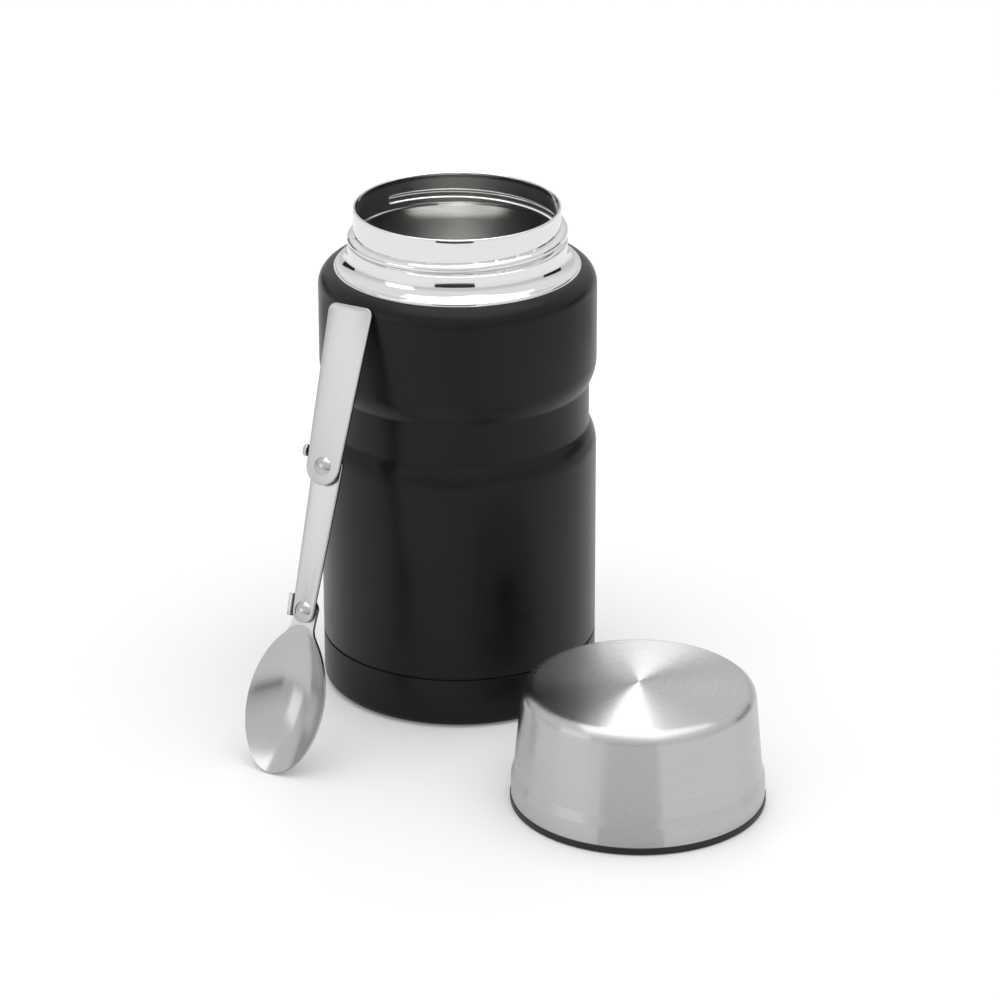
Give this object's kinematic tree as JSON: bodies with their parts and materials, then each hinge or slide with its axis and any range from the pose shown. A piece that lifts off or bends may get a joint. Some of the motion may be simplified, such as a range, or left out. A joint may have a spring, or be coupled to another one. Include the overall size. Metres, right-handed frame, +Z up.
{
  "type": "insulated food jar",
  "caption": "Wide-mouth vacuum food jar standing open, its screw lid set down beside it and a folding riveted spoon leaning on the body.",
  "frame": {"origin": "centre of the jar's flat underside, on its axis", "axes": "+Z up along the jar's axis, out of its mouth; -Y to the viewer of the picture, +X to their right"},
  "size_m": [0.183, 0.2004, 0.1822],
  "materials": {
    "black_coat": "satin, powder coated",
    "bare_steel": "plain sheet",
    "seal_glass": "fused solder glass",
    "polished_steel": "polished stainless steel",
    "foil": "bright foil",
    "brushed_steel": "spun brush marks",
    "black_plastic": "matt polypropylene",
    "silicone": "matt translucent silicone",
    "foam": "rigid insulating foam",
    "spoon_steel": "fine satin stainless steel"
  },
  "bodies": {
    "jar": {"jar_outer_shell": "black_coat", "jar_base_cup": "black_coat", "jar_end_plate": "bare_steel", "jar_evacuation_seal": "seal_glass", "jar_inner_vessel": "polished_steel", "jar_vessel_bottom": "polished_steel", "jar_neck_collar": "polished_steel", "jar_radiation_foil": "foil", "jar_getter": "bare_steel"},
    "lid": {"lid_shell": "brushed_steel", "lid_liner": "black_plastic", "lid_gasket": "silicone", "lid_insulation": "foam"},
    "spoon_middle": {"spoon_link": "spoon_steel", "spoon_rivet_upper": "spoon_steel", "spoon_rivet_lower": "spoon_steel", "spoon_washer_upper": "spoon_steel", "spoon_washer_lower": "spoon_steel"},
    "spoon_grip": {"spoon_handle": "spoon_steel"},
    "spoon_scoop": {"spoon_bowl": "spoon_steel"}
  },
  "joints": [
    {"name": "lid_lift", "type": "slide", "parent": "jar", "child": "lid", "axis": [0, 0, 1], "range_m": [0, 0.2]},
    {"name": "spoon_lift", "type": "slide", "parent": "jar", "child": "spoon_middle", "axis": [0, 0, 1], "range_m": [0, 0.2]},
    {"name": "handle_fold", "type": "hinge", "parent": "spoon_middle", "child": "spoon_grip", "pos_m": [-0.04734, -0.05438, 0.1045], "axis": [0.4912, 0.7861, -0.3753], "range_deg": [0, 180]},
    {"name": "bowl_fold", "type": "hinge", "parent": "spoon_middle", "child": "spoon_scoop", "pos_m": [-0.05383, -0.06772, 0.05486], "axis": [-0.4912, -0.7861, 0.3753], "range_deg": [0, 180]}
  ]
}
